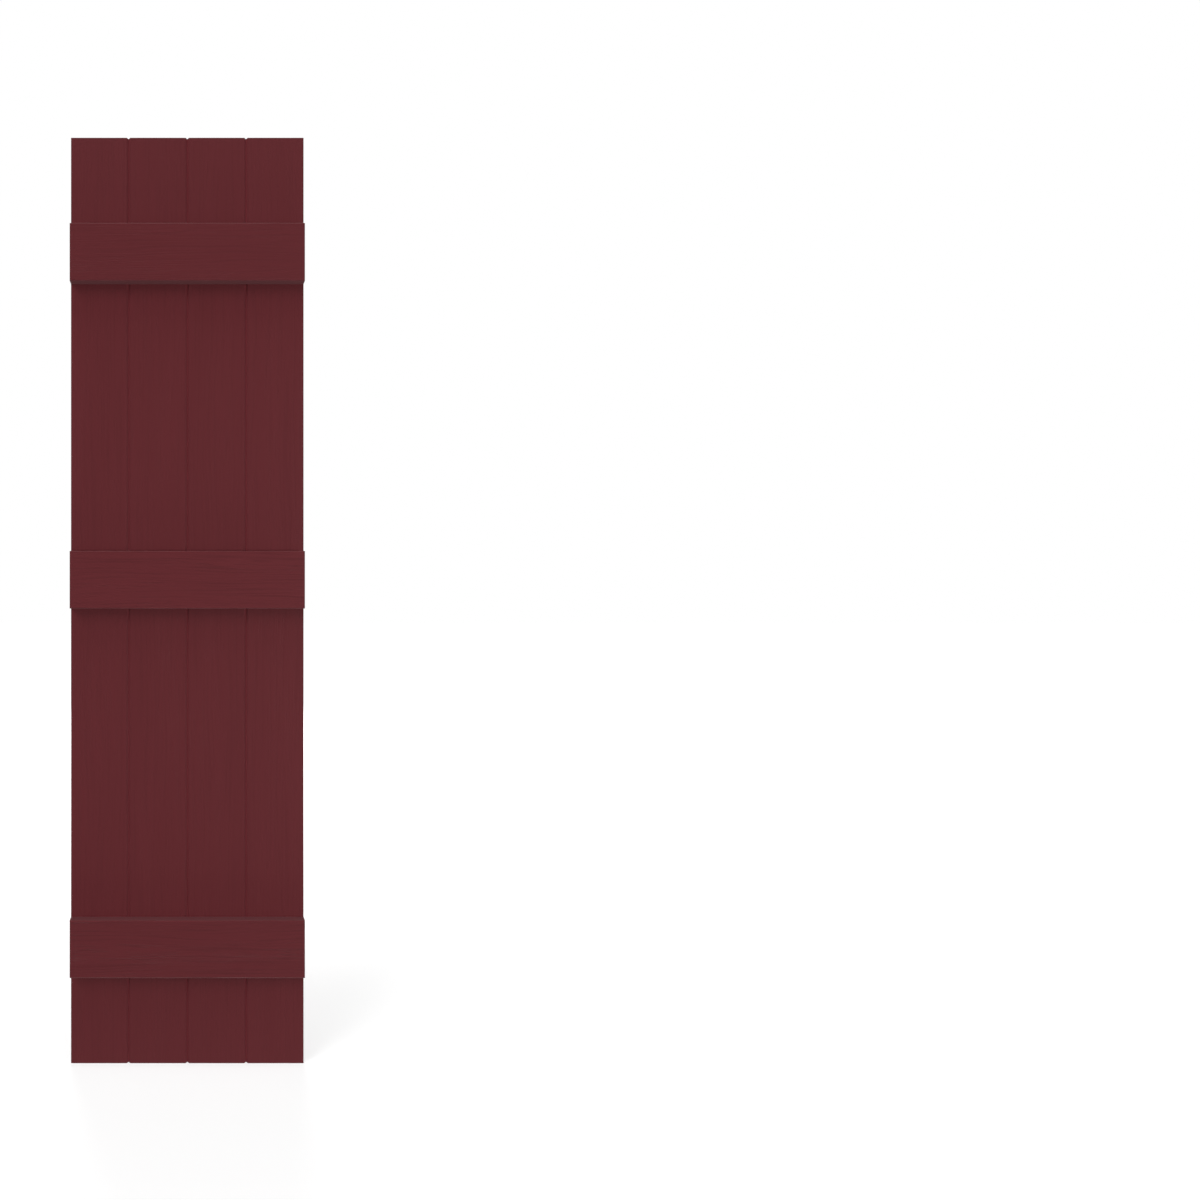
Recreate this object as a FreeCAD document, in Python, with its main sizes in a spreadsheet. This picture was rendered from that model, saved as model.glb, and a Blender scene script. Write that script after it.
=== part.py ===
"""Board and batten shutter: four interlocking vinyl boards under three hollow battens.

The boards are hollow extrusions that run the full height of the shutter. Each board but the last
has a lap flange behind its right edge, which slides into a seat behind the left edge of the next
board. The bevelled arrises of the two boards meet in front of that lap, where they make the V
groove, and at the back the eased corners of flange and seat make the seam.
The battens are moulded channels, open at the back, that are screwed to every board from behind.

Frame: millimetres, +Z up, the front of the shutter faces -Y, and the origin is on the back,
at the middle of the shutter's width and height, where it lies against the wall.
"""
import FreeCAD
import Part
import Sketcher
import math
import os

# Driving dimensions, which become the cells of the document's spreadsheet.
SIZES = {
    # The four boards side by side
    "panel_height": 1397.0,
    "panel_width": 351.2,
    "board_pitch": 88.7,
    "board_thickness": 9.5,
    # The hollow section of a board
    "shell_wall": 2.0,
    "web_wall": 1.6,
    "edge_radius": 1.0,
    # The V groove between two boards, the nick at its ends, and the lap behind it with its seam
    "vee_width": 5.4,
    "vee_depth": 2.4,
    "vee_nick": 1.1,
    "lap_length": 8.0,
    "lap_thickness": 2.0,
    "lap_clearance": 0.2,
    "seam_ease": 1.0,
    # The three battens across the boards
    "batten_height": 86.0,
    "batten_depth": 19.0,
    "batten_wall": 2.5,
    "batten_edge_radius": 1.5,
    "batten_rib": 2.0,
    "batten_end_margin": 135.0,
    "middle_batten_rise": 31.0,
    # The screws that hold each batten to each board
    "screw_spacing": 44.0,
    "screw_hole": 4.5,
    "driver_hole": 10.5,
    "boss_diameter": 9.0,
    "pilot_hole": 3.2,
}

CELLS_PER_BOARD = 5

# Where a board's screws lie about the middle of a batten, in halves of the screw spacing.
SCREW_PAIR = (-1, 1)
ONE_SCREW = (0,)

# Widths and edges measured from the left side of the shutter.
OUTER_BOARD = "(Sizes.panel_width / 2 - Sizes.board_pitch)"
LEFT_JOINT = OUTER_BOARD
MIDDLE_JOINT = "(Sizes.panel_width / 2)"
RIGHT_JOINT = "(Sizes.panel_width / 2 + Sizes.board_pitch)"
JOINTS = (LEFT_JOINT, MIDDLE_JOINT, RIGHT_JOINT)

# Each board: its name, its left edge, its width, whether a joint lies on its left and right,
# and the screws that hold it to a batten.
BOARDS = (
    ("left_outer_board", "0", OUTER_BOARD, False, True, SCREW_PAIR),
    ("left_inner_board", LEFT_JOINT, "Sizes.board_pitch", True, True, ONE_SCREW),
    ("right_inner_board", MIDDLE_JOINT, "Sizes.board_pitch", True, True, ONE_SCREW),
    ("right_outer_board", RIGHT_JOINT, OUTER_BOARD, True, False, SCREW_PAIR),
)

# Each batten: its name and the height of its middle above the lower end of the boards.
BATTENS = (
    ("bottom_batten", "(Sizes.batten_end_margin + Sizes.batten_height / 2)"),
    ("middle_batten", "(Sizes.panel_height / 2 + Sizes.middle_batten_rise)"),
    ("top_batten", "(Sizes.panel_height - Sizes.batten_end_margin - Sizes.batten_height / 2)"),
)


def make_sheet(document):
    """Write the driving dimensions into a spreadsheet, one aliased cell each."""
    sheet = document.addObject("Spreadsheet::Sheet", "Sizes")
    for row, (alias, value) in enumerate(SIZES.items(), start=1):
        sheet.set(f"A{row}", alias.replace("_", " "))
        sheet.set(f"B{row}", str(value))
        sheet.setAlias(f"B{row}", alias)
    document.recompute()


def new_sketch(body, name, role, offset=None):
    """Attach an empty sketch to one of the body's origin planes, moved along the plane's normal."""
    plane = next(feature for feature in body.Origin.OriginFeatures if feature.Role == role)
    sketch = body.newObject("Sketcher::SketchObject", name)
    sketch.AttachmentSupport = [(plane, "")]
    sketch.MapMode = "FlatFace"
    if offset:
        sketch.setExpression("AttachmentOffset.Base.z", offset)
    return sketch


def place_point(sketch, curve, end, across, along):
    """Tie one point of a curve to two expressions, measured from the sketch's origin."""
    for kind, axis, formula in (("DistanceX", -2, across), ("DistanceY", -1, along)):
        if formula == "0":
            sketch.addConstraint(Sketcher.Constraint("PointOnObject", curve, end, axis))
            continue
        index = sketch.addConstraint(Sketcher.Constraint(kind, -1, 1, curve, end, 1.0))
        sketch.setExpression(f"Constraints[{index}]", formula)


def add_outline(sketch, points):
    """Draw a closed outline of straight lines through points given as pairs of expressions."""
    first = sketch.GeometryCount
    count = len(points)
    turns = [2 * math.pi * step / count for step in range(count)]
    ring = [FreeCAD.Vector(math.cos(turn), math.sin(turn), 0) for turn in turns]
    for step in range(count):
        sketch.addGeometry(Part.LineSegment(ring[step], ring[(step + 1) % count]), False)
    for step in range(count):
        following = first + (step + 1) % count
        sketch.addConstraint(Sketcher.Constraint("Coincident", first + step, 2, following, 1))
    for step, (across, along) in enumerate(points):
        place_point(sketch, first + step, 1, across, along)


def add_rectangle(sketch, left, right, low, high):
    """Draw a rectangle between two expressions across and two along."""
    add_outline(sketch, [(left, low), (right, low), (right, high), (left, high)])


def add_circle(sketch, across, along, diameter):
    """Draw a circle whose centre and diameter are expressions."""
    curve = sketch.addGeometry(Part.Circle(FreeCAD.Vector(1, 1, 0), FreeCAD.Vector(0, 0, 1), 1.0), False)
    place_point(sketch, curve, 3, across, along)
    index = sketch.addConstraint(Sketcher.Constraint("Diameter", curve, 2.0))
    sketch.setExpression(f"Constraints[{index}]", diameter)


def add_pad(body, name, sketch, length, reverse=False):
    """Extrude a sketch by an expression."""
    pad = body.newObject("PartDesign::Pad", name)
    pad.Profile = sketch
    pad.Reversed = reverse
    pad.setExpression("Length", length)
    body.Document.recompute()
    return pad


def add_through_pocket(body, name, sketch, reverse=False):
    """Cut a sketch through all that lies on one side of it, and make sure that it cuts."""
    before = body.Shape.Volume
    pocket = body.newObject("PartDesign::Pocket", name)
    pocket.Profile = sketch
    pocket.Type = "ThroughAll"
    pocket.Reversed = reverse
    body.Document.recompute()
    if body.Shape.Volume >= before:
        raise RuntimeError(f"{body.Label}: {name} removes nothing")
    return pocket


def add_fillet(body, name, radius, chosen):
    """Round the edges of the body's last feature for which chosen(edge) is true."""
    tip = body.Tip
    edges = [f"Edge{number}" for number, edge in enumerate(tip.Shape.Edges, start=1) if chosen(edge)]
    fillet = body.newObject("PartDesign::Fillet", name)
    fillet.Base = (tip, edges)
    fillet.setExpression("Radius", radius)
    body.Document.recompute()
    return fillet


def lies_on(edge, axis, value):
    """Tell whether both ends of an edge have the same given coordinate along an axis."""
    return all(math.isclose(vertex.Point[axis], value, abs_tol=1e-6) for vertex in edge.Vertexes)


def hollow_limits(width, left_joint, right_joint):
    """Give the expressions between which a board is hollow, measured from its left edge."""
    left = "Sizes.shell_wall"
    right = f"{width} - Sizes.shell_wall"
    if left_joint:
        left = "Sizes.lap_length + Sizes.lap_clearance + Sizes.shell_wall"
    if right_joint:
        right = f"{width} - Sizes.vee_width / 2 - Sizes.shell_wall"
    return f"({left})", f"({right})"


def screw_line(width, left_joint, right_joint):
    """Give the expression for the middle of a board's middle cell, where its screws go."""
    left, right = hollow_limits(width, left_joint, right_joint)
    return f"({left} + {right}) / 2"


def screw_heights(middle, screws):
    """Give the expressions for the heights of one board's screws about the middle of a batten."""
    return [f"{middle} + {side} * Sizes.screw_spacing / 2" for side in screws]


def board_outline(width, left_joint, right_joint):
    """Give the outline of a board's section, from the front left: across, and back from the face."""
    back = "Sizes.board_thickness"
    eased = "Sizes.board_thickness - Sizes.seam_ease"
    lap_face = "Sizes.board_thickness - Sizes.lap_thickness"
    if right_joint:
        lap_end = f"{width} + Sizes.lap_length"
        right_side = [
            (f"{width} - Sizes.vee_width / 2", "0"),
            (width, "Sizes.vee_depth"),
            (width, lap_face),
            (lap_end, lap_face),
            (lap_end, eased),
            (f"{lap_end} - Sizes.seam_ease", back),
        ]
    else:
        right_side = [(width, "0"), (width, back)]
    if left_joint:
        seat_end = "Sizes.lap_length + Sizes.lap_clearance"
        seat_face = f"{lap_face} - Sizes.lap_clearance"
        left_side = [
            (f"{seat_end} + Sizes.seam_ease", back),
            (seat_end, eased),
            (seat_end, seat_face),
            ("0", seat_face),
            ("0", "Sizes.vee_depth"),
            ("Sizes.vee_width / 2", "0"),
        ]
    else:
        left_side = [("0", back), ("0", "0")]
    return right_side + left_side


def nick_outlines(width, left_joint, right_joint):
    """Give the V nicks at both ends of a board's joints: across, and up from the lower end."""
    half = "Sizes.vee_width / 2"
    low = ("0", "Sizes.vee_nick")
    high = ("Sizes.panel_height", "Sizes.panel_height - Sizes.vee_nick")
    outlines = []
    for end, tip in (low, high):
        if left_joint:
            outlines.append([("0", end), (half, end), ("0", tip)])
        if right_joint:
            outlines.append([(f"{width} - {half}", end), (f"{width} + {half}", end), (width, tip)])
    return outlines


def make_board(document, name, left_edge, width, left_joint, right_joint, screws):
    """Extrude one hollow board, ease its free edge, nick its joints and bore it for the screws."""
    body = document.addObject("PartDesign::Body", name)
    body.Label = name

    section = new_sketch(body, f"{name}_section", "XY_Plane")
    add_outline(section, board_outline(width, left_joint, right_joint))
    left, right = hollow_limits(width, left_joint, right_joint)
    step = f"({right} - {left} + Sizes.web_wall) / {CELLS_PER_BOARD}"
    inner_back = "Sizes.board_thickness - Sizes.shell_wall"
    for cell in range(CELLS_PER_BOARD):
        start = f"{left} + {cell} * {step}"
        end = f"{left} + {cell + 1} * {step} - Sizes.web_wall"
        add_rectangle(section, start, end, "Sizes.shell_wall", inner_back)
    add_pad(body, f"{name}_extrusion", section, "Sizes.panel_height")

    if not (left_joint and right_joint):
        box = body.Shape.BoundBox
        free_side = box.XMax if left_joint else box.XMin
        add_fillet(
            body,
            f"{name}_eased_edge",
            "Sizes.edge_radius",
            lambda edge: lies_on(edge, 0, free_side) and lies_on(edge, 1, box.YMin),
        )

    nicks = new_sketch(body, f"{name}_nick_outlines", "XZ_Plane")
    for outline in nick_outlines(width, left_joint, right_joint):
        add_outline(nicks, outline)
    add_through_pocket(body, f"{name}_nicks", nicks)

    across = screw_line(width, left_joint, right_joint)
    for hole, diameter, to_front in (("driver", "driver_hole", False), ("screw", "screw_hole", True)):
        circles = new_sketch(body, f"{name}_{hole}_places", "XZ_Plane", "-Sizes.board_thickness / 2")
        for _, middle in BATTENS:
            for height in screw_heights(middle, screws):
                add_circle(circles, across, height, f"Sizes.{diameter}")
        add_through_pocket(body, f"{name}_{hole}_holes", circles, reverse=to_front)

    body.setExpression("Placement.Base.x", f"{left_edge} - Sizes.panel_width / 2")
    body.setExpression("Placement.Base.y", "-Sizes.board_thickness")
    body.setExpression("Placement.Base.z", "-Sizes.panel_height / 2")
    return body


def make_batten(document, name, middle):
    """Mould one batten: a channel with closed ends, ribs behind the joints and screw bosses."""
    body = document.addObject("PartDesign::Body", name)
    body.Label = name

    face = new_sketch(body, f"{name}_face", "XZ_Plane")
    add_rectangle(face, "0", "Sizes.panel_width", "0", "Sizes.batten_height")
    add_pad(body, f"{name}_block", face, "Sizes.batten_depth", reverse=True)
    front = body.Shape.BoundBox.YMin
    add_fillet(
        body,
        f"{name}_eased_edges",
        "Sizes.batten_edge_radius",
        lambda edge: lies_on(edge, 1, front),
    )

    inside = "-Sizes.batten_wall"
    low = "Sizes.batten_wall"
    high = "Sizes.batten_height - Sizes.batten_wall"
    cavity = new_sketch(body, f"{name}_cavity_outline", "XZ_Plane", inside)
    cavity_right = "Sizes.panel_width - Sizes.batten_wall"
    add_rectangle(cavity, "Sizes.batten_wall", cavity_right, low, high)
    add_through_pocket(body, f"{name}_cavity", cavity)

    inner_depth = "Sizes.batten_depth - Sizes.batten_wall"
    ribs = new_sketch(body, f"{name}_rib_outlines", "XZ_Plane", inside)
    for joint in JOINTS:
        rib_left = f"{joint} - Sizes.batten_rib / 2"
        rib_right = f"{joint} + Sizes.batten_rib / 2"
        add_rectangle(ribs, rib_left, rib_right, low, high)
    add_pad(body, f"{name}_ribs", ribs, inner_depth, reverse=True)

    bosses = new_sketch(body, f"{name}_boss_places", "XZ_Plane", inside)
    for _, left_edge, width, left_joint, right_joint, screws in BOARDS:
        across = f"{left_edge} + {screw_line(width, left_joint, right_joint)}"
        for height in screw_heights("Sizes.batten_height / 2", screws):
            add_circle(bosses, across, height, "Sizes.boss_diameter")
            add_circle(bosses, across, height, "Sizes.pilot_hole")
    add_pad(body, f"{name}_bosses", bosses, inner_depth, reverse=True)

    body.setExpression("Placement.Base.x", "-Sizes.panel_width / 2")
    body.setExpression("Placement.Base.y", "-Sizes.board_thickness - Sizes.batten_depth")
    body.setExpression("Placement.Base.z", f"{middle} - Sizes.batten_height / 2 - Sizes.panel_height / 2")
    return body


def check_document(document, bodies):
    """Stop if a feature failed or a piece isn't one valid solid."""
    for item in document.Objects:
        if "Invalid" in item.State or "Error" in item.State:
            raise RuntimeError(f"{item.Label} is {item.State}")
    for body in bodies:
        shape = body.Shape
        if shape.isNull() or not shape.isValid() or len(shape.Solids) != 1:
            raise RuntimeError(f"{body.Label} isn't one valid solid")


def main():
    """Build every board and batten and write each to its own file."""
    document = FreeCAD.newDocument("board_and_batten_shutter")
    make_sheet(document)
    bodies = [make_board(document, *board) for board in BOARDS]
    bodies += [make_batten(document, *batten) for batten in BATTENS]
    document.recompute()
    check_document(document, bodies)
    os.makedirs("parts", exist_ok=True)
    for body in bodies:
        body.Shape.exportStep(f"parts/{body.Label}.step")
        box = body.Shape.BoundBox
        print(f"{body.Label}: {box.XLength:.2f} x {box.YLength:.2f} x {box.ZLength:.2f} mm,"
              f" {body.Shape.Volume / 1000:.1f} cm3")


main()
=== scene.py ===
"""Looks of a board and batten shutter: embossed burgundy vinyl, plated screws and a white studio.

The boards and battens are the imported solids, dressed in a vinyl whose wood grain runs up the
boards and along the battens. The screws that hold the battens are modelled here and sit in the
holes in the back of the boards. Lengths are metres unless a name says millimetres.
"""

import logging
import math
from collections.abc import Callable
from dataclasses import dataclass
from enum import Enum

import bpy
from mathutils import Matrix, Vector


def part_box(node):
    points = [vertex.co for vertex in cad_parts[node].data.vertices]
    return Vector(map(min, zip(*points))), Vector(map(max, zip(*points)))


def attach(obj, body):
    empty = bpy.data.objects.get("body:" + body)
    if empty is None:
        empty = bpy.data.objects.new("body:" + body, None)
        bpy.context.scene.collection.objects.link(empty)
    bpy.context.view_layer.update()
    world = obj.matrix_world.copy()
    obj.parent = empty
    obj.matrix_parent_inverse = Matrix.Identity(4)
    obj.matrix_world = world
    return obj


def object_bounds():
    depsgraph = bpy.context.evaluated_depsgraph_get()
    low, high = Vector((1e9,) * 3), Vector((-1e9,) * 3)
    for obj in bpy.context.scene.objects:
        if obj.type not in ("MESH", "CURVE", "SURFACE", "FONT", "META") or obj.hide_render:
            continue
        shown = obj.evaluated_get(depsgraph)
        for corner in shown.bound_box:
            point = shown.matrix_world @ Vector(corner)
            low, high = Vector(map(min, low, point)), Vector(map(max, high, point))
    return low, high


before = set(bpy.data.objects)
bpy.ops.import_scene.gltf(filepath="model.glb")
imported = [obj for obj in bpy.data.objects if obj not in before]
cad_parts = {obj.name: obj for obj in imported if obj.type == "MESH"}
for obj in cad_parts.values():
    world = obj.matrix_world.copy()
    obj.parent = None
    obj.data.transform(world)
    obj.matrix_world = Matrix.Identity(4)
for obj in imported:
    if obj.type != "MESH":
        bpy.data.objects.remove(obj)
CAD_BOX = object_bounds()

LOG = logging.getLogger("shutter")
MM = 0.001
QUARTER_TURN = math.radians(90)
LEVEL_NORMAL = 0.9
BODY = "root"
BATTENS = ("top_batten", "middle_batten", "bottom_batten")

Span = tuple[float, float]
Triple = tuple[float, float, float]


class GrainRun(Enum):
    """The way that the rolled grain runs on a piece."""

    UPRIGHT = "upright"
    ACROSS = "across"


class ScrewSet(Enum):
    """Where a board's screws lie about the middle of a batten, in halves of their spacing."""

    PAIR = (-1, 1)
    SINGLE = (0,)


class NodeSketch:
    """Adds nodes to one node tree and links them."""

    def __init__(self, tree: bpy.types.NodeTree) -> None:
        """Keep the tree that takes the nodes."""
        self.tree = tree

    def add(self, kind: str, **settings: object) -> bpy.types.Node:
        """Add a node and set its properties.

        Args:
            kind: The node's type name.
            **settings: Properties of the node itself, by name.

        Returns:
            The new node.
        """
        node = self.tree.nodes.new(kind)
        for name, value in settings.items():
            setattr(node, name, value)
        return node

    def feed(self, value: object, socket: bpy.types.NodeSocket) -> None:
        """Feed a socket from another socket, or set it to a constant.

        Args:
            value: An output socket, or a plain value.
            socket: The input socket to feed.
        """
        if isinstance(value, bpy.types.NodeSocket):
            self.tree.links.new(value, socket)
        else:
            socket.default_value = value

    def maths(self, operation: str, *values: object) -> bpy.types.NodeSocket:
        """Add a Math node.

        Args:
            operation: The Math node's operation.
            *values: Its inputs in order, each a socket or a number.

        Returns:
            The node's output.
        """
        node = self.add("ShaderNodeMath", operation=operation)
        for value, socket in zip(values, node.inputs):
            self.feed(value, socket)
        return node.outputs[0]

    def total(self, *values: object) -> bpy.types.NodeSocket:
        """Add up two or more values.

        Args:
            *values: The values, each a socket or a number.

        Returns:
            The sum.
        """
        running = values[0]
        for value in values[1:]:
            running = self.maths("ADD", running, value)
        return running

    def noise(
        self, place: bpy.types.NodeSocket, pitch_mm: Triple, detail: float
    ) -> bpy.types.NodeSocket:
        """Add a noise that is stretched to its own pitch along each axis.

        Args:
            place: Coordinates in millimetres.
            pitch_mm: The size of the noise's features along x, y and z.
            detail: How many finer layers the noise has.

        Returns:
            The noise's value, about a half on average.
        """
        scale = self.add("ShaderNodeVectorMath", operation="MULTIPLY")
        self.feed(place, scale.inputs[0])
        scale.inputs[1].default_value = tuple(1 / pitch for pitch in pitch_mm)
        noise = self.add("ShaderNodeTexNoise", noise_dimensions="3D")
        self.feed(scale.outputs[0], noise.inputs["Vector"])
        noise.inputs["Scale"].default_value = 1.0
        noise.inputs["Detail"].default_value = detail
        return noise.outputs[0]

    def centred(self, noise: bpy.types.NodeSocket) -> bpy.types.NodeSocket:
        """Move a noise's middle from a half to zero."""
        return self.maths("SUBTRACT", noise, 0.5)

    def opposite(self, mask: bpy.types.NodeSocket) -> bpy.types.NodeSocket:
        """Turn a mask from 0 to 1 the other way round."""
        return self.maths("SUBTRACT", 1.0, mask)

    def ramp(self, value: bpy.types.NodeSocket, span: Span) -> bpy.types.NodeSocket:
        """Add a smooth step from 0 to 1.

        Args:
            value: The value that is stepped.
            span: Where the step leaves 0 and where it reaches 1.

        Returns:
            The stepped value.
        """
        node = self.add("ShaderNodeMapRange", interpolation_type="SMOOTHSTEP")
        self.feed(value, node.inputs["Value"])
        node.inputs["From Min"].default_value, node.inputs["From Max"].default_value = span
        return node.outputs["Result"]

    def place_mm(self, turn: float = 0.0, along_mm: float = 0.0) -> bpy.types.NodeSocket:
        """Read the piece's Object coordinates in millimetres.

        Args:
            turn: How far the coordinates are turned about y, in radians.
            along_mm: How far they are then moved along z.

        Returns:
            The coordinates.
        """
        where = self.add("ShaderNodeTexCoord")
        mapping = self.add("ShaderNodeMapping")
        mapping.inputs["Scale"].default_value = (1 / MM, 1 / MM, 1 / MM)
        mapping.inputs["Rotation"].default_value = (0, turn, 0)
        mapping.inputs["Location"].default_value = (0, 0, along_mm)
        self.feed(where.outputs["Object"], mapping.inputs["Vector"])
        return mapping.outputs["Vector"]

    def bump(self, height: bpy.types.NodeSocket, distance: float) -> bpy.types.NodeSocket:
        """Add a bump.

        Args:
            height: The height of the relief.
            distance: How deep a height of 1 is.

        Returns:
            The bumped normal.
        """
        node = self.add("ShaderNodeBump")
        node.inputs["Distance"].default_value = distance
        self.feed(height, node.inputs["Height"])
        return node.outputs["Normal"]


def new_material(name: str) -> tuple[NodeSketch, bpy.types.Node, bpy.types.Material]:
    """Make a material with one Principled shader.

    Args:
        name: The material's name.

    Returns:
        Its node tree, its shader and the material itself.
    """
    material = bpy.data.materials.new(name)
    material.use_nodes = True
    nodes = NodeSketch(material.node_tree)
    return nodes, material.node_tree.nodes["Principled BSDF"], material


@dataclass(frozen=True)
class RolledGrain:
    """The wood grain that is rolled into the face of the vinyl, as one shared node group.

    Long lines are raised and sunk all over the face, short ticks are pressed into it in patches,
    and a fine stipple makes it matt. The bevels of the grooves and the back stay nearly smooth,
    and the bevels get a painted light that grows towards their foot, to lift the shade there.
    Depths are measured from the face.
    """

    name: str = "rolled_grain"
    line_pitch_mm: Triple = (2.6, 2.6, 170.0)
    line_detail: float = 3.0
    tick_pitch_mm: Triple = (1.4, 1.4, 40.0)
    tick_detail: float = 1.0
    patch_pitch_mm: Triple = (30.0, 30.0, 260.0)
    patch_detail: float = 2.0
    drift_pitch_mm: Triple = (60.0, 60.0, 420.0)
    drift_detail: float = 2.0
    drift_width_mm: float = 32.0
    stipple_pitch_mm: Triple = (0.45, 0.45, 0.45)
    stipple_detail: float = 1.0
    stipple_depth_mm: float = 0.03
    rolled_depth_mm: float = 0.4
    arris_start_mm: Span = (0.0, 2.4)
    arris_end_mm: Span = (2.6, 3.9)
    tick_span: Span = (0.54, 0.72)
    patch_span: Span = (0.40, 0.62)
    pore_span: Span = (0.34, 0.52)
    unrolled_lines: float = 0.15
    unrolled_gloss: float = -0.08
    patch_roughness: float = 0.10
    pore_roughness: float = 0.08
    inputs: tuple[tuple[str, str], ...] = (
        ("Place", "NodeSocketVector"),
        ("Face", "NodeSocketFloat"),
        ("Colour", "NodeSocketColor"),
        ("Tone Spread", "NodeSocketFloat"),
        ("Pore Shade", "NodeSocketFloat"),
        ("Painted Bevel Light", "NodeSocketFloat"),
        ("Line Depth", "NodeSocketFloat"),
        ("Tick Depth", "NodeSocketFloat"),
        ("Roughness", "NodeSocketFloat"),
    )
    outputs: tuple[tuple[str, str], ...] = (
        ("Colour", "NodeSocketColor"),
        ("Roughness", "NodeSocketFloat"),
        ("Height", "NodeSocketFloat"),
    )

    def group(self) -> bpy.types.NodeTree:
        """Give the node group, which is built the first time it is asked for.

        Returns:
            The group. Place is in millimetres, with z along the grain and y out of the back.
        """
        made = bpy.data.node_groups.get(self.name)
        if made:
            return made
        tree = bpy.data.node_groups.new(self.name, "ShaderNodeTree")
        for label, kind in self.inputs:
            tree.interface.new_socket(label, in_out="INPUT", socket_type=kind)
        for label, kind in self.outputs:
            tree.interface.new_socket(label, in_out="OUTPUT", socket_type=kind)
        self._fill(NodeSketch(tree))
        return tree

    def _fill(self, nodes: NodeSketch) -> None:
        """Lay out the group's nodes.

        Args:
            nodes: The group's tree.
        """
        given = nodes.add("NodeGroupInput").outputs
        result = nodes.add("NodeGroupOutput").inputs
        axes = nodes.add("ShaderNodeSeparateXYZ")
        nodes.feed(given["Place"], axes.inputs[0])

        # Where the roll presses, and where the bevels lie.
        behind = nodes.maths("SUBTRACT", axes.outputs["Y"], given["Face"])
        smooth = nodes.ramp(behind, (0.0, self.rolled_depth_mm))
        rolled = nodes.opposite(smooth)
        shallow = nodes.opposite(nodes.ramp(behind, self.arris_end_mm))
        arris = nodes.maths("MULTIPLY", nodes.ramp(behind, self.arris_start_mm), shallow)

        # The long lines, the ticks in their patches, and the pores that both leave.
        place = self._swayed(nodes, given["Place"], axes)
        lines = nodes.noise(place, self.line_pitch_mm, self.line_detail)
        patches = nodes.noise(place, self.patch_pitch_mm, self.patch_detail)
        specks = nodes.noise(place, self.tick_pitch_mm, self.tick_detail)
        specks = nodes.ramp(specks, self.tick_span)
        ticks = nodes.maths("MULTIPLY", specks, nodes.ramp(patches, self.patch_span))
        ticks = nodes.maths("MULTIPLY", ticks, rolled)
        pores = nodes.maths("MULTIPLY", nodes.opposite(nodes.ramp(lines, self.pore_span)), rolled)
        pores = nodes.maths("MAXIMUM", pores, ticks)

        # The relief, in millimetres.
        pressing = nodes.maths("MULTIPLY", rolled, 1 - self.unrolled_lines)
        pressing = nodes.maths("ADD", pressing, self.unrolled_lines)
        raised = nodes.maths("MULTIPLY", nodes.centred(lines), given["Line Depth"])
        raised = nodes.maths("MULTIPLY", raised, pressing)
        sunk = nodes.maths("MULTIPLY", ticks, given["Tick Depth"])
        stipple = nodes.noise(given["Place"], self.stipple_pitch_mm, self.stipple_detail)
        matt = nodes.maths("MULTIPLY", stipple, self.stipple_depth_mm)
        relief = nodes.maths("SUBTRACT", nodes.total(raised, matt), sunk)
        nodes.feed(relief, result["Height"])

        # The colour, with painted light on the bevels and darker in the pores.
        broad = nodes.maths("MULTIPLY", nodes.centred(patches), given["Tone Spread"])
        # Painted light: the bevels of the grooves and edges are made paler, most at the foot,
        # against the shade that falls there.
        painted_light = nodes.maths("MULTIPLY", arris, given["Painted Bevel Light"])
        shade = nodes.maths("MULTIPLY", pores, given["Pore Shade"])
        tone = nodes.maths("SUBTRACT", nodes.total(1.0, broad, painted_light), shade)
        tinted = nodes.add("ShaderNodeVectorMath", operation="SCALE")
        nodes.feed(given["Colour"], tinted.inputs[0])
        nodes.feed(tone, tinted.inputs["Scale"])
        nodes.feed(tinted.outputs[0], result["Colour"])

        # The roughness, less where the roll doesn't press and more in the pores.
        gloss = nodes.maths("MULTIPLY", smooth, self.unrolled_gloss)
        uneven = nodes.maths("MULTIPLY", nodes.centred(patches), self.patch_roughness)
        dull = nodes.maths("MULTIPLY", pores, self.pore_roughness)
        nodes.feed(nodes.total(given["Roughness"], gloss, uneven, dull), result["Roughness"])

    def _swayed(
        self, nodes: NodeSketch, place: bpy.types.NodeSocket, axes: bpy.types.Node
    ) -> bpy.types.NodeSocket:
        """Let the grain wander a little across the piece.

        Args:
            nodes: The group's tree.
            place: Coordinates in millimetres.
            axes: The node that parts them into x, y and z.

        Returns:
            The coordinates with x swayed.
        """
        drift = nodes.centred(nodes.noise(place, self.drift_pitch_mm, self.drift_detail))
        sway = nodes.maths("MULTIPLY", drift, self.drift_width_mm)
        swayed = nodes.add("ShaderNodeCombineXYZ")
        nodes.feed(nodes.maths("ADD", axes.outputs["X"], sway), swayed.inputs["X"])
        nodes.feed(axes.outputs["Y"], swayed.inputs["Y"])
        nodes.feed(axes.outputs["Z"], swayed.inputs["Z"])
        return swayed.outputs[0]


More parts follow.
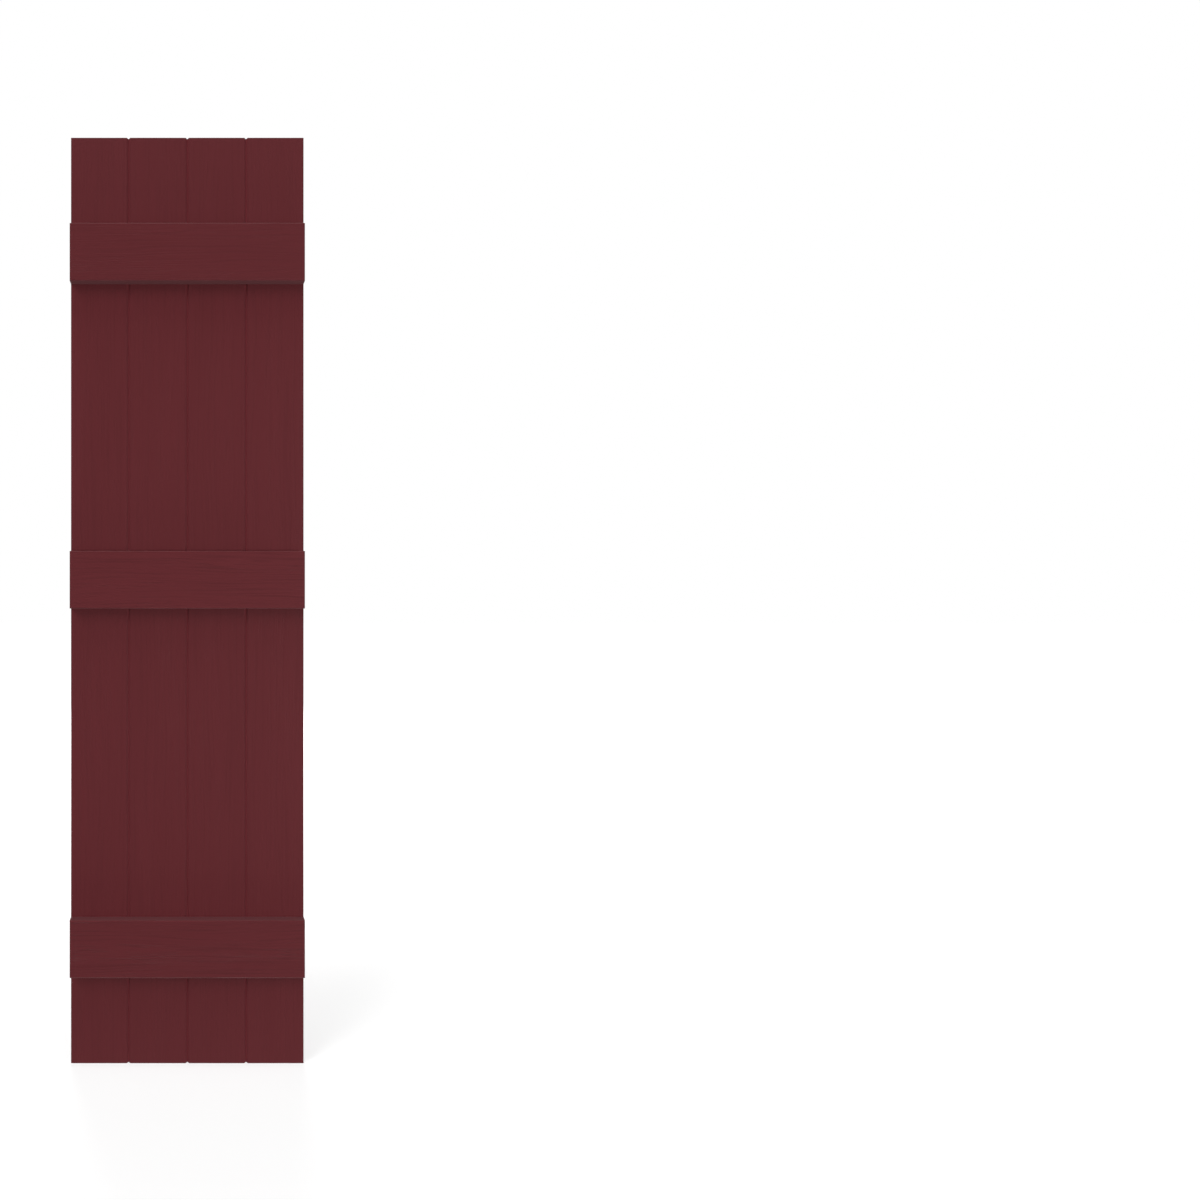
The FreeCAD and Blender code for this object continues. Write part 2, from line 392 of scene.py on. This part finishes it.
@dataclass(frozen=True)
class BurgundyVinyl:
    """Burgundy vinyl, coloured through, with the rolled grain on its face."""

    name: str
    run: GrainRun
    face_mm: float
    along_mm: float = 0.0
    tone: float = 1.0
    colour: Triple = (0.0990, 0.0152, 0.0188)
    tone_spread: float = 0.11
    pore_shade: float = 0.04
    # Painted light on the bevels of the grooves, which lifts the shade in them.
    painted_bevel_light: float = 0.42
    line_depth_mm: float = 0.27
    tick_depth_mm: float = 0.10
    roughness: float = 0.55
    specular: float = 0.15
    sheen: float = 0.055
    sheen_roughness: float = 0.5

    def material(self) -> bpy.types.Material:
        """Build the material.

        Returns:
            A material that reads the piece's Object coordinates.
        """
        nodes, shader, material = new_material(self.name)
        shader.inputs["Specular IOR Level"].default_value = self.specular
        shader.inputs["Sheen Weight"].default_value = self.sheen
        shader.inputs["Sheen Roughness"].default_value = self.sheen_roughness
        grain = nodes.add("ShaderNodeGroup", node_tree=RolledGrain().group())
        turn = QUARTER_TURN if self.run is GrainRun.ACROSS else 0.0
        settings = {
            "Place": nodes.place_mm(turn, self.along_mm),
            "Face": self.face_mm,
            "Colour": (*(self.tone * part for part in self.colour), 1),
            "Tone Spread": self.tone_spread,
            "Pore Shade": self.pore_shade,
            "Painted Bevel Light": self.painted_bevel_light,
            "Line Depth": self.line_depth_mm,
            "Tick Depth": self.tick_depth_mm,
            "Roughness": self.roughness,
        }
        for label, value in settings.items():
            nodes.feed(value, grain.inputs[label])
        nodes.feed(grain.outputs["Colour"], shader.inputs["Base Color"])
        nodes.feed(grain.outputs["Roughness"], shader.inputs["Roughness"])
        nodes.feed(nodes.bump(grain.outputs["Height"], MM), shader.inputs["Normal"])
        return material


@dataclass(frozen=True)
class PlatedSteel:
    """Zinc plated steel, a little uneven in its gloss."""

    name: str = "zinc_plated_steel"
    dull: Triple = (0.40, 0.39, 0.36)
    bright: Triple = (0.66, 0.65, 0.61)
    blotch_pitch_mm: Triple = (1.6, 1.6, 1.6)
    blotch_detail: float = 2.0
    blotch_span: Span = (0.35, 0.65)
    scratch_pitch_mm: Triple = (0.25, 0.25, 3.0)
    scratch_detail: float = 1.0
    scratch_depth: float = 0.02 * MM
    roughness: float = 0.24
    roughness_spread: float = 0.22

    def material(self) -> bpy.types.Material:
        """Build the material.

        Returns:
            A material that reads the piece's Object coordinates.
        """
        nodes, shader, material = new_material(self.name)
        shader.inputs["Metallic"].default_value = 1.0
        place = nodes.place_mm()
        blotches = nodes.noise(place, self.blotch_pitch_mm, self.blotch_detail)
        scratches = nodes.noise(place, self.scratch_pitch_mm, self.scratch_detail)
        blend = nodes.add("ShaderNodeMix", data_type="RGBA")
        nodes.feed(nodes.ramp(blotches, self.blotch_span), blend.inputs["Factor"])
        blend.inputs["A"].default_value = (*self.dull, 1)
        blend.inputs["B"].default_value = (*self.bright, 1)
        nodes.feed(blend.outputs["Result"], shader.inputs["Base Color"])
        spread = nodes.maths("MULTIPLY", scratches, self.roughness_spread)
        nodes.feed(nodes.maths("ADD", spread, self.roughness), shader.inputs["Roughness"])
        nodes.feed(nodes.bump(scratches, self.scratch_depth), shader.inputs["Normal"])
        return material


@dataclass(frozen=True)
class FloorWhite:
    """A white floor that takes a soft shadow near its middle and runs out into the background."""

    name: str = "studio_floor_white"
    grey: float = 0.45
    roughness: float = 0.9
    near_glow: float = 0.58
    far_glow: float = 1.0
    glow_span_mm: Span = (300.0, 2000.0)

    def material(self) -> bpy.types.Material:
        """Build the material.

        Returns:
            A material that reads the floor's Object coordinates.
        """
        nodes, shader, material = new_material(self.name)
        shader.inputs["Base Color"].default_value = (self.grey, self.grey, self.grey, 1)
        shader.inputs["Roughness"].default_value = self.roughness
        shader.inputs["Specular IOR Level"].default_value = 0.0
        shader.inputs["Emission Strength"].default_value = 1.0
        away = nodes.add("ShaderNodeVectorMath", operation="LENGTH")
        nodes.feed(nodes.place_mm(), away.inputs[0])
        far = nodes.ramp(away.outputs["Value"], self.glow_span_mm)
        rise = nodes.maths("MULTIPLY", far, self.far_glow - self.near_glow)
        nodes.feed(nodes.maths("ADD", rise, self.near_glow), shader.inputs["Emission Color"])
        return material


def dress(node: str, material: bpy.types.Material) -> None:
    """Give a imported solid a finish.

    Args:
        node: The solid's name.
        material: The finish.
    """
    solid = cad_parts[node]
    solid.data.materials.clear()
    solid.data.materials.append(material)
    LOG.info("%s wears %s", node, material.name)


@dataclass
class Boards:
    """The four upright boards, each cut from its own length of the extrusion."""

    names: tuple[str, ...] = (
        "left_outer_board",
        "left_inner_board",
        "right_inner_board",
        "right_outer_board",
    )
    tones: tuple[float, ...] = (1.005, 1.0, 1.0, 1.01)
    cut_length_mm: float = 1700.0

    def dress(self) -> None:
        """Give every board the vinyl with upright grain."""
        for number, (name, tone) in enumerate(zip(self.names, self.tones)):
            finish = BurgundyVinyl(
                name=f"{name}_vinyl",
                run=GrainRun.UPRIGHT,
                face_mm=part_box(name)[0].y / MM,
                along_mm=number * self.cut_length_mm,
                tone=tone,
            )
            dress(name, finish.material())


@dataclass
class Battens:
    """The three battens across the boards, with a bolder grain than the boards have.

    The roll presses the grain unevenly, and the top batten is cut from a fainter stretch.
    """

    names: tuple[str, ...] = BATTENS
    # The middle batten's higher tone and the top batten's slightly lower tone are painted light,
    # for the light being brightest at the middle of the shutter.
    tones: tuple[float, ...] = (0.995, 1.045, 1.0)
    boldness: tuple[float, ...] = (0.55, 1.0, 1.0)
    cut_length_mm: float = 500.0
    pore_shade: float = 0.13
    # Painted light on the eased edges of the battens.
    painted_bevel_light: float = 0.08
    line_depth_mm: float = 0.70
    tick_depth_mm: float = 0.22

    def dress(self) -> None:
        """Give every batten the vinyl with grain along its length."""
        battens = zip(self.names, self.tones, self.boldness)
        for number, (name, tone, bold) in enumerate(battens):
            finish = BurgundyVinyl(
                name=f"{name}_vinyl",
                run=GrainRun.ACROSS,
                face_mm=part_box(name)[0].y / MM,
                along_mm=number * self.cut_length_mm,
                tone=tone,
                pore_shade=bold * self.pore_shade,
                painted_bevel_light=self.painted_bevel_light,
                line_depth_mm=bold * self.line_depth_mm,
                tick_depth_mm=bold * self.tick_depth_mm,
            )
            dress(name, finish.material())


@dataclass(frozen=True)
class ScrewLine:
    """The upright line of one board's screws, along the middle of the board's hollow.

    Its sizes are those of the board's hollow section.
    """

    board: str
    screws: ScrewSet
    seat_on_left: bool
    flange_on_right: bool
    shell_wall: float = 2.0 * MM
    lap_length: float = 8.0 * MM
    lap_clearance: float = 0.2 * MM
    half_groove: float = 2.7 * MM

    def across(self) -> float:
        """Give the line's place along x, halfway between the two ends of the hollow.

        Returns:
            The place, from the middle of the shutter.
        """
        low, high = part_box(self.board)
        left = low.x + self.shell_wall
        right = high.x - self.shell_wall
        if self.seat_on_left:
            left += self.lap_length + self.lap_clearance
        if self.flange_on_right:
            right -= self.lap_length + self.half_groove
        return (left + right) / 2


def select_faces(piece: bpy.types.Object, chosen: Callable[[bpy.types.MeshPolygon], bool]) -> None:
    """Select some faces of a piece and leave it in edit mode.

    Args:
        piece: The active object.
        chosen: Tells whether a face is selected.
    """
    bpy.ops.object.mode_set(mode="EDIT")
    bpy.ops.mesh.select_mode(type="FACE")
    bpy.ops.mesh.select_all(action="DESELECT")
    bpy.ops.object.mode_set(mode="OBJECT")
    for face in piece.data.polygons:
        face.select = chosen(face)
    bpy.ops.object.mode_set(mode="EDIT")


def faces_up(face: bpy.types.MeshPolygon) -> bool:
    """Tell whether a face looks along +z."""
    return face.normal.z > LEVEL_NORMAL


def faces_down(face: bpy.types.MeshPolygon) -> bool:
    """Tell whether a face looks along -z."""
    return face.normal.z < -LEVEL_NORMAL


def grow(length: float, scale: float) -> None:
    """Extrude the selected end of a round piece along z and set its size about the z axis.

    Args:
        length: How far the end moves, down where it is negative.
        scale: The end's new size as a share of its old one.
    """
    bpy.ops.mesh.extrude_region_move(TRANSFORM_OT_translate={"value": (0, 0, length)})
    bpy.ops.transform.resize(value=(scale, scale, 1), center_override=(0, 0, 0))


@dataclass
class BattenScrews:
    """The flanged pan head screws that hold the battens, seen in the holes in the back."""

    battens: tuple[str, ...] = BATTENS
    lines: tuple[ScrewLine, ...] = (
        ScrewLine("left_outer_board", ScrewSet.PAIR, seat_on_left=False, flange_on_right=True),
        ScrewLine("left_inner_board", ScrewSet.SINGLE, seat_on_left=True, flange_on_right=True),
        ScrewLine("right_inner_board", ScrewSet.SINGLE, seat_on_left=True, flange_on_right=True),
        ScrewLine("right_outer_board", ScrewSet.PAIR, seat_on_left=True, flange_on_right=False),
    )
    spacing: float = 44.0 * MM
    turn_step: float = math.radians(37)
    sides: int = 28
    flange_radius: float = 4.6 * MM
    flange_thickness: float = 0.7 * MM
    head_radius: float = 3.7 * MM
    head_height: float = 2.0 * MM
    head_round: float = 1.2 * MM
    head_round_steps: int = 4
    recess_span: float = 4.4 * MM
    recess_width: float = 1.0 * MM
    recess_depth: float = 1.5 * MM
    recess_taper: float = 0.55
    core_radius: float = 1.25 * MM
    thread_radius: float = 1.55 * MM
    thread_pitch: float = 1.4 * MM
    threads: int = 9
    tip_length: float = 2.0 * MM
    tip_taper: float = 0.2
    smooth_angle: float = math.radians(35)

    def build(self) -> None:
        """Model one screw, copy it to every place and join the copies of each batten."""
        pattern = self._model()
        pattern.data.materials.append(PlatedSteel().material())
        for batten in self.battens:
            self._drive(pattern, batten)
        bpy.data.objects.remove(pattern)

    def _model(self) -> bpy.types.Object:
        """Model one screw with its seat at the origin and its head along +y.

        Returns:
            The screw.
        """
        bpy.ops.object.select_all(action="DESELECT")
        bpy.ops.mesh.primitive_cylinder_add(
            vertices=self.sides,
            radius=self.flange_radius,
            depth=self.flange_thickness,
            location=(0, 0, self.flange_thickness / 2),
        )
        screw = bpy.context.object
        bpy.ops.object.transform_apply(location=True, rotation=True, scale=True)
        self._raise_head(screw)
        self._turn_shank(screw)
        bpy.ops.object.mode_set(mode="OBJECT")
        self._cut_recess(screw)
        screw.rotation_euler = (-QUARTER_TURN, 0, 0)
        bpy.ops.object.transform_apply(location=True, rotation=True, scale=True)
        bpy.ops.object.shade_smooth_by_angle(angle=self.smooth_angle)
        return screw

    def _raise_head(self, screw: bpy.types.Object) -> None:
        """Draw the rounded head up from the flange.

        Args:
            screw: The flange, which is left in edit mode.
        """
        select_faces(screw, faces_up)
        bpy.ops.mesh.inset(thickness=self.flange_radius - self.head_radius, depth=0)
        bpy.ops.mesh.extrude_region_move(TRANSFORM_OT_translate={"value": (0, 0, self.head_height)})
        bpy.ops.mesh.bevel(offset=self.head_round, segments=self.head_round_steps, affect="EDGES")

    def _turn_shank(self, screw: bpy.types.Object) -> None:
        """Draw the threaded shank and its tip down from the flange.

        Args:
            screw: The flange and head, which are left in edit mode.
        """
        select_faces(screw, faces_down)
        bpy.ops.mesh.inset(thickness=self.flange_radius - self.core_radius, depth=0)
        crest = self.thread_radius / self.core_radius
        for _ in range(self.threads):
            grow(-self.thread_pitch / 2, crest)
            grow(-self.thread_pitch / 2, 1 / crest)
        grow(-self.tip_length, self.tip_taper)

    def _cut_recess(self, screw: bpy.types.Object) -> None:
        """Cut the tapered cross recess into the head.

        Args:
            screw: The whole screw, which is left selected.
        """
        top = self.flange_thickness + self.head_height
        for turn in (0, QUARTER_TURN):
            bpy.ops.object.select_all(action="DESELECT")
            bpy.ops.mesh.primitive_cube_add(size=1, location=(0, 0, top), rotation=(0, 0, turn))
            cutter = bpy.context.object
            cutter.scale = (self.recess_span, self.recess_width, 2 * self.recess_depth)
            bpy.ops.object.transform_apply(location=True, rotation=True, scale=True)
            select_faces(cutter, faces_down)
            taper = (self.recess_taper, self.recess_taper, 1)
            bpy.ops.transform.resize(value=taper, center_override=(0, 0, 0))
            bpy.ops.object.mode_set(mode="OBJECT")
            bpy.context.view_layer.objects.active = screw
            cut = screw.modifiers.new("recess", "BOOLEAN")
            cut.operation = "DIFFERENCE"
            cut.object = cutter
            bpy.ops.object.modifier_apply(modifier=cut.name)
            bpy.data.objects.remove(cutter)
        bpy.ops.object.select_all(action="DESELECT")
        screw.select_set(True)

    def _drive(self, pattern: bpy.types.Object, batten: str) -> None:
        """Copy the screw to each of a batten's places and join the copies.

        Args:
            pattern: The screw to copy.
            batten: The batten's name.
        """
        bpy.ops.object.select_all(action="DESELECT")
        places = self._places(batten)
        for number, place in enumerate(places):
            screw = pattern.copy()
            screw.data = pattern.data.copy()
            screw.location = place
            screw.rotation_euler = (0, number * self.turn_step, 0)
            bpy.context.scene.collection.objects.link(screw)
            screw.select_set(True)
            bpy.context.view_layer.objects.active = screw
        bpy.ops.object.join()
        screws = bpy.context.object
        screws.name = f"{batten}_screws"
        bpy.ops.object.transform_apply(location=True, rotation=True, scale=True)
        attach(screws, BODY)
        LOG.info("%s: %d screws", screws.name, len(places))

    def _places(self, batten: str) -> list[Vector]:
        """Give the seats of a batten's screws, on the inside of the boards' front walls.

        Args:
            batten: The batten's name.

        Returns:
            The middle of each screw's seat.
        """
        low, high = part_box(batten)
        middle = (low.z + high.z) / 2
        places = []
        for line in self.lines:
            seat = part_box(line.board)[0].y + line.shell_wall
            for side in line.screws.value:
                places.append(Vector((line.across(), seat, middle + side * self.spacing / 2)))
        return places


@dataclass
class SoftBox:
    """One soft studio light, a rectangle that faces the middle of the shutter.

    The azimuth goes from the front to the right and the elevation goes up, both in degrees. A
    light that isn't mirrored doesn't show in the gloss.
    """

    name: str
    azimuth: float
    elevation: float
    distance: float
    width: float
    height: float
    share: float
    mirrored: bool = True

    def build(self) -> None:
        """Add the light, as strong as its share of the light on the face that it shines on."""
        azimuth, elevation = math.radians(self.azimuth), math.radians(self.elevation)
        flat = math.cos(elevation)
        way = Vector((flat * math.sin(azimuth), -flat * math.cos(azimuth), math.sin(elevation)))
        data = bpy.data.lights.new(self.name, "AREA")
        data.shape = "RECTANGLE"
        data.size = self.width
        data.size_y = self.height
        # At this power a white face square to y, turned to the light, is as bright as the share.
        data.energy = math.pi**2 * self.share * self.distance**2 / abs(way.y)
        light = bpy.data.objects.new(self.name, data)
        light.visible_glossy = self.mirrored
        light.location = self.distance * way
        light.rotation_euler = way.to_track_quat("Z", "Y").to_euler()
        bpy.context.scene.collection.objects.link(light)
        LOG.info("%s gives %.0f%% of the light", self.name, 100 * self.share)


@dataclass
class Studio:
    """The white studio: floor, lights, background and camera."""

    photo_pixels: float = 1200.0
    shutter_centre_px: tuple[float, float] = (187.3, 600.5)
    shutter_height_px: float = 925.4
    camera_to_boards: float = 1.577
    floor_size: float = 60.0
    fill: float = 0.10
    glossy_fill: float = 0.3
    lights: tuple[SoftBox, ...] = (
        SoftBox(
            "front_left_box", azimuth=-42, elevation=-3, distance=3.0,
            width=1.0, height=0.4, share=0.12,
        ),
        SoftBox(
            "front_right_box", azimuth=42, elevation=-3, distance=3.0,
            width=1.0, height=0.4, share=0.335,
        ),
        SoftBox(
            "left_box", azimuth=-78, elevation=-2, distance=6.0,
            width=3.0, height=3.0, share=0.05, mirrored=False,
        ),
        SoftBox(
            "right_box", azimuth=78, elevation=-2, distance=6.0,
            width=3.0, height=3.0, share=0.05, mirrored=False,
        ),
        SoftBox(
            "upper_box", azimuth=-40, elevation=36, distance=10.0,
            width=4.4, height=7.0, share=0.33, mirrored=False,
        ),
        SoftBox(
            "overhead_box", azimuth=0, elevation=80, distance=6.0,
            width=2.4, height=2.4, share=0.075,
        ),
        SoftBox(
            "under_box", azimuth=0, elevation=-82, distance=6.0,
            width=2.4, height=2.4, share=0.06,
        ),
        SoftBox(
            "back_box", azimuth=184, elevation=18, distance=5.0,
            width=2.5, height=2.5, share=0.80, mirrored=False,
        ),
    )

    def build(self) -> None:
        """Set up everything round the shutter."""
        self._floor()
        self._background()
        for light in self.lights:
            light.build()
        self._camera()

    def _floor(self) -> None:
        """Lay a white floor under the shutter, which throws no light or shade back on it."""
        bpy.ops.object.select_all(action="DESELECT")
        bpy.ops.mesh.primitive_plane_add(size=self.floor_size, location=(0, 0, CAD_BOX[0].z))
        floor = bpy.context.object
        floor.name = "studio_floor"
        floor.visible_diffuse = False
        floor.visible_glossy = False
        floor.visible_shadow = False
        floor.data.materials.append(FloorWhite().material())

    def _background(self) -> None:
        """Make the background white to the camera, and dimmer to the shutter's face and gloss."""
        world = bpy.data.worlds.new("studio")
        bpy.context.scene.world = world
        world.use_nodes = True
        world.node_tree.nodes.clear()
        nodes = NodeSketch(world.node_tree)
        path = nodes.add("ShaderNodeLightPath")
        seen = nodes.maths("MULTIPLY", path.outputs["Is Camera Ray"], 1 - self.fill)
        shine = nodes.maths("MULTIPLY", path.outputs["Is Glossy Ray"], self.glossy_fill - self.fill)
        white = nodes.add("ShaderNodeBackground")
        white.inputs["Color"].default_value = (1, 1, 1, 1)
        nodes.feed(nodes.total(self.fill, seen, shine), white.inputs["Strength"])
        out = nodes.add("ShaderNodeOutputWorld")
        nodes.feed(white.outputs[0], out.inputs["Surface"])

    def _camera(self) -> None:
        """Stand the camera square in front of the shutter, framed as in the photograph."""
        boards_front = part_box("left_outer_board")[0].y
        height = CAD_BOX[1].z - CAD_BOX[0].z
        frame_width = height / self.shutter_height_px * self.photo_pixels
        middle = self.photo_pixels / 2
        data = bpy.data.cameras.new("camera")
        data.lens = data.sensor_width * self.camera_to_boards / frame_width
        data.shift_x = (middle - self.shutter_centre_px[0]) / self.photo_pixels
        data.shift_y = (self.shutter_centre_px[1] - middle) / self.photo_pixels
        camera = bpy.data.objects.new("camera", data)
        camera.location = (0, boards_front - self.camera_to_boards, 0)
        camera.rotation_euler = (QUARTER_TURN, 0, 0)
        bpy.context.scene.collection.objects.link(camera)
        bpy.context.scene.camera = camera
        bpy.context.scene.view_settings.view_transform = "Standard"


def main() -> None:
    """Build and dress the shutter, then the studio."""
    logging.basicConfig(level=logging.INFO, format="%(name)s: %(message)s")
    Boards().dress()
    Battens().dress()
    BattenScrews().build()
    Studio().build()


if __name__ == "__main__":
    main()
